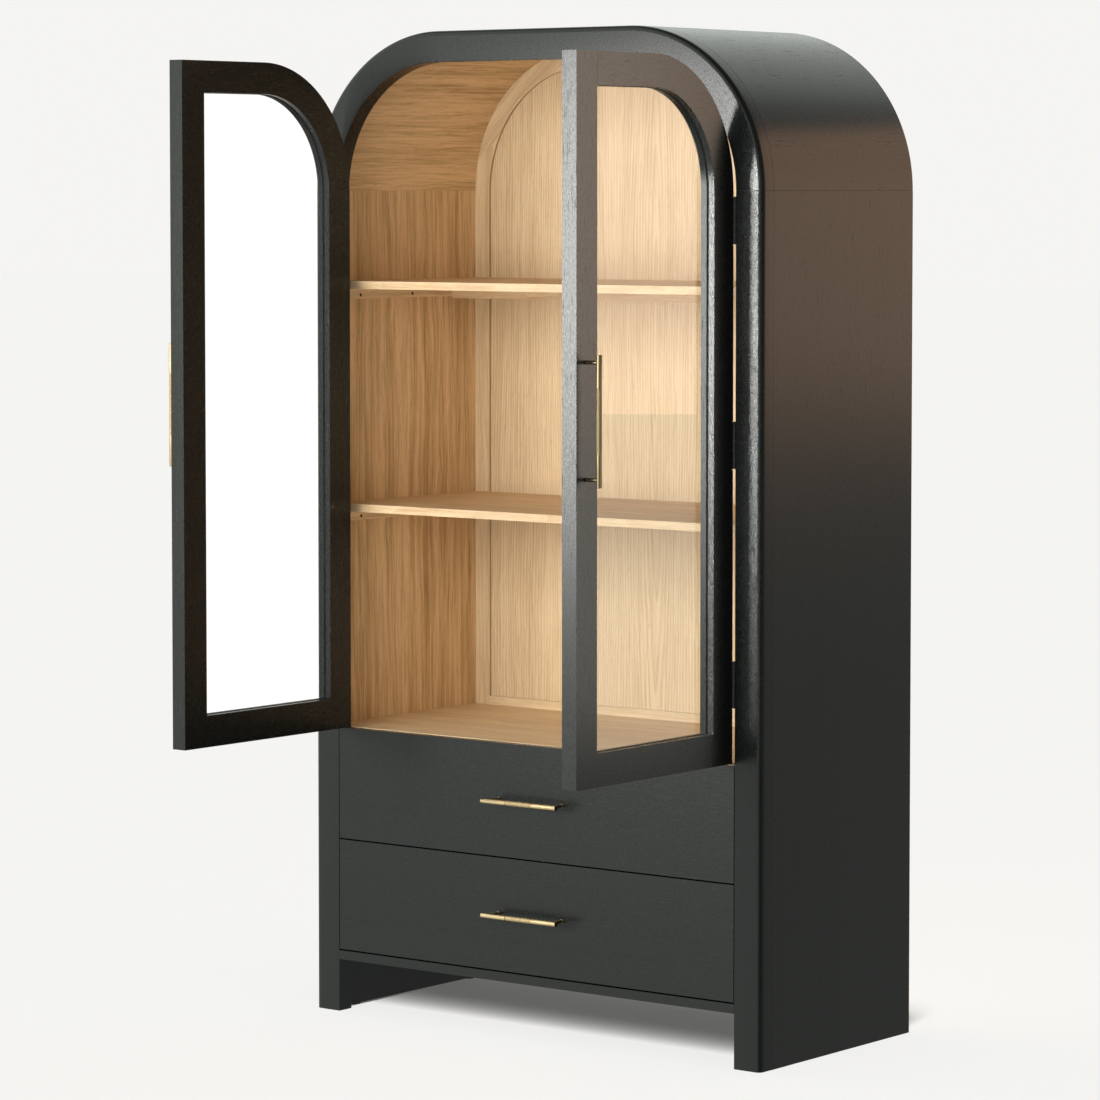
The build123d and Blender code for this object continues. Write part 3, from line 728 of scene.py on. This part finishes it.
for side in ("left", "right"):
    door_handle(side, BRASS)
for level in ("upper", "lower"):
    drawer_pull(level, BRASS)

# The curved part of the back's trim frame keeps its scarf joints, so it stays as packed.
trim = frame["nodes"]["back_trim_arch"]
trim.data.materials.clear()
trim.data.materials.append(OAK_TRIM_ARCH)

# ---------------------------------------------------------------- stage, lights and camera

scene = bpy.context.scene
scene.view_settings.view_transform = "Standard"

# Radiances: what the camera sees behind the object, what fills matt surfaces, what glass lets in
BACKDROP = (0.915, 0.908, 0.890)
FILL = (0.16, 0.16, 0.16)
THROUGH_GLASS = (1.25, 1.25, 1.24)
WHITE = (1, 1, 1)

VIEW_AZIMUTH = radians(37.71)
VIEW_DROP = radians(3.357)
VIEW_FROM = (5.3475, -6.8630, 1.6828)
LENS = 144.21
SENSOR = 36
SHIFT_Y = -0.09


def studio_floor():
    """Large pale floor that matches the backdrop and stays out of the reflections."""
    bpy.ops.mesh.primitive_plane_add(size=120, location=(0, 0, 0))
    plane = bpy.context.object
    plane.name = "studio_floor"
    paint = Shade("studio_floor_paint")
    cloud = paint.noise(paint.stretched(paint.axes("XYZ"), 2, 2, 1), 2)
    paint.set(Base_Color=paint.mix(cloud, (0.517, 0.514, 0.504), (0.520, 0.516, 0.506)))
    paint.set(Roughness=0.9, Specular_IOR_Level=0.0)
    paint.set(Emission_Color=(*BACKDROP, 1), Emission_Strength=0.125)
    plane.data.materials.append(paint.material)
    plane.visible_glossy = False
    plane.visible_transmission = False
    return plane


def studio_world():
    """Backdrop for the camera, an even fill for matt surfaces, and a dimmer studio for gloss."""
    world = bpy.data.worlds.new("studio")
    scene.world = world
    world.use_nodes = True
    room = Nodes(world.node_tree)
    coordinates = room.tree.nodes.new("ShaderNodeTexCoord")
    split = room.tree.nodes.new("ShaderNodeSeparateXYZ")
    room.link(coordinates.outputs["Generated"], split.inputs[0])
    x, y, z = split.outputs
    away = room.math("MULTIPLY_ADD", x, 0.61, room.math("MULTIPLY", y, 0.79))
    beside = room.math("MULTIPLY_ADD", x, 0.79, room.math("MULTIPLY", y, -0.61))

    low_front = room.level(z, -0.16, 0.06, 1.05, 1.75)
    front = room.math("MULTIPLY", room.level(away, -0.30, -0.75), low_front)
    back_rise = room.level(z, 0.20, 0.02, 0.0, 0.25)
    back_low = room.math("MULTIPLY", room.level(away, 0.30, 0.75), back_rise)
    behind = room.math("MULTIPLY", room.level(y, 0.2, 0.6), room.level(x, 0.42, 0.02))
    crown = room.math("MULTIPLY", room.level(z, 0.03, 0.25), room.level(z, 0.85, 0.55, 0.2, 1.15))
    crown = room.math("MULTIPLY", behind, crown)
    radiance = room.math("ADD", room.math("ADD", front, back_low), crown)
    radiance = room.math("ADD", radiance, room.level(beside, 0.3, -0.3, 0.16, 0.26))
    green = room.math("MULTIPLY", radiance, 1.06)
    gloss = room.combine(radiance, green, radiance)

    path = room.tree.nodes.new("ShaderNodeLightPath")
    colour = room.mix(path.outputs["Is Glossy Ray"], FILL, gloss)
    colour = room.mix(path.outputs["Is Transmission Ray"], colour, THROUGH_GLASS)
    colour = room.mix(path.outputs["Is Camera Ray"], colour, BACKDROP)
    room.link(colour, room.tree.nodes["Background"].inputs[0])


def lamp_object(name, data, location=(0, 0, 0)):
    """Put a light in the scene, out of the camera's sight."""
    lamp = bpy.data.objects.new(name, data)
    scene.collection.objects.link(lamp)
    lamp.location = location
    lamp.visible_camera = False
    lamp.visible_transmission = False
    return lamp


def panel_light(name, location, target, size, radiance, colour=WHITE):
    """Rectangular soft light of a given radiance."""
    data = bpy.data.lights.new(name, "AREA")
    data.shape = "RECTANGLE"
    data.size, data.size_y = size
    data.energy = radiance * size[0] * size[1] * pi
    data.color = colour
    lamp = lamp_object(name, data, location)
    lamp.rotation_euler = (Vector(target) - Vector(location)).to_track_quat("-Z", "Y").to_euler()
    return lamp


def receivers(lamp, objects, state="INCLUDE"):
    """Light only these objects, or everything but them."""
    group = bpy.data.collections.new(lamp.name + "_receivers")
    for item in objects:
        group.objects.link(item)
    lamp.light_linking.receiver_collection = group
    for entry in group.collection_objects:
        entry.light_linking.link_state = state


def blockers(lamp, objects):
    """Let only these objects cast the light's shadows."""
    group = bpy.data.collections.new(lamp.name + "_blockers")
    for item in objects:
        group.objects.link(item)
    lamp.light_linking.blocker_collection = group


def gloss_card(name, shown_on=(), hidden_from=(), **panel):
    """Panel that shows only in reflections: on the named objects, or on all but some."""
    lamp = panel_light(name, **panel)
    lamp.visible_diffuse = False
    if shown_on:
        receivers(lamp, shown_on)
    else:
        receivers(lamp, hidden_from, "EXCLUDE")
    return lamp


def matt_fill(name, hidden_from, **panel):
    """Panel that brightens surfaces without showing in reflections."""
    lamp = panel_light(name, **panel)
    lamp.visible_glossy = False
    receivers(lamp, hidden_from, "EXCLUDE")


def sun_on(floor):
    """Sun that lights only the floor, with the shadow of the cabinet's foot on it."""
    data = bpy.data.lights.new("floor_light", "SUN")
    data.energy = 8.63
    data.angle = radians(24)
    lamp = lamp_object("floor_light", data)
    lamp.rotation_euler = (radians(60), 0, radians(25))
    lamp.visible_glossy = False
    receivers(lamp, [floor])
    blockers(lamp, [frame["nodes"][part] for part in ("bottom_panel", "foot_blocks", "floor_glides")])


def post_cards(post, head):
    """Upright row of small cards, dimmer downwards, for the sheen beside the right door."""
    rows = ((1.49, 0.62, 7.5), (1.05, 0.26, 4.0), (0.80, 0.24, 1.4))
    for number, (height, tall, radiance) in enumerate(rows):
        card = gloss_card(f"post_card_{number}", shown_on=[post, head],
                          location=(0.335, -0.30, height), target=(0.54, FRONT_Y, height),
                          size=(0.07, tall), radiance=radiance)
        blockers(card, [frame["nodes"]["floor_glides"]])


def studio_lights(floor):
    """Cards for the reflections, fills for the matt surfaces and a sun for the floor."""
    shaped = bpy.data.objects
    right_post = shaped["right_post_shaped"]
    bars = ("left_handle", "right_handle", "upper_pull", "lower_pull")
    brass_parts = [shaped[f"{bar}_shaped"] for bar in bars]
    rails = ("hinge_stile", "meeting_stile", "bottom_rail")
    door_frame = [shaped["right_arched_rail_shaped"]]
    door_frame += [frame["nodes"][f"right_door_{part}"] for part in rails]

    softbox = {"location": (-1.79, -3.87, 1.50), "target": (0.45, -0.3, 1.35), "size": (0.62, 1.4)}
    edge_box = gloss_card("edge_softbox", hidden_from=[floor, *brass_parts, right_post],
                          radiance=66, colour=(1, 1, 0.97), **softbox)
    edge_box.visible_transmission = True
    gloss_card("side_card", hidden_from=[floor, *brass_parts],
               location=(2.60, 2.63, 2.14), target=(0.60, 0.05, 2.14), size=(3.0, 2.1),
               radiance=2.25, colour=(1, 0.60, 0.38))
    gloss_card("brass_card", shown_on=brass_parts, radiance=9, colour=(1, 0.97, 0.90), **softbox)
    gloss_card("door_card", shown_on=door_frame,
               location=(1.56, 0.73, 1.40), target=(0.57, -0.55, 1.40), size=(0.65, 1.8),
               radiance=2.8, colour=(1, 0.95, 0.85))
    post_cards(right_post, shaped["front_arch_head_shaped"])
    matt_fill("front_fill", [floor], location=(0.3, -5.2, 2.0), target=(0, 0, 1.2),
              size=(4.0, 3.0), radiance=7.0)
    matt_fill("back_fill", [floor], location=(0.5, 5.2, 2.6), target=(0, 0, 1.2),
              size=(3.0, 3.0), radiance=2.5)
    sun_on(floor)


def view_camera():
    """Long lens from the right of the front, a little above the middle."""
    data = bpy.data.cameras.new("view")
    data.lens = LENS
    data.sensor_width = SENSOR
    data.shift_y = SHIFT_Y
    data.clip_end = 200
    camera = bpy.data.objects.new("view", data)
    scene.collection.objects.link(camera)
    camera.location = VIEW_FROM
    camera.rotation_euler = (radians(90) - VIEW_DROP, 0, VIEW_AZIMUTH)
    scene.camera = camera


studio_world()
studio_lights(studio_floor())
view_camera()
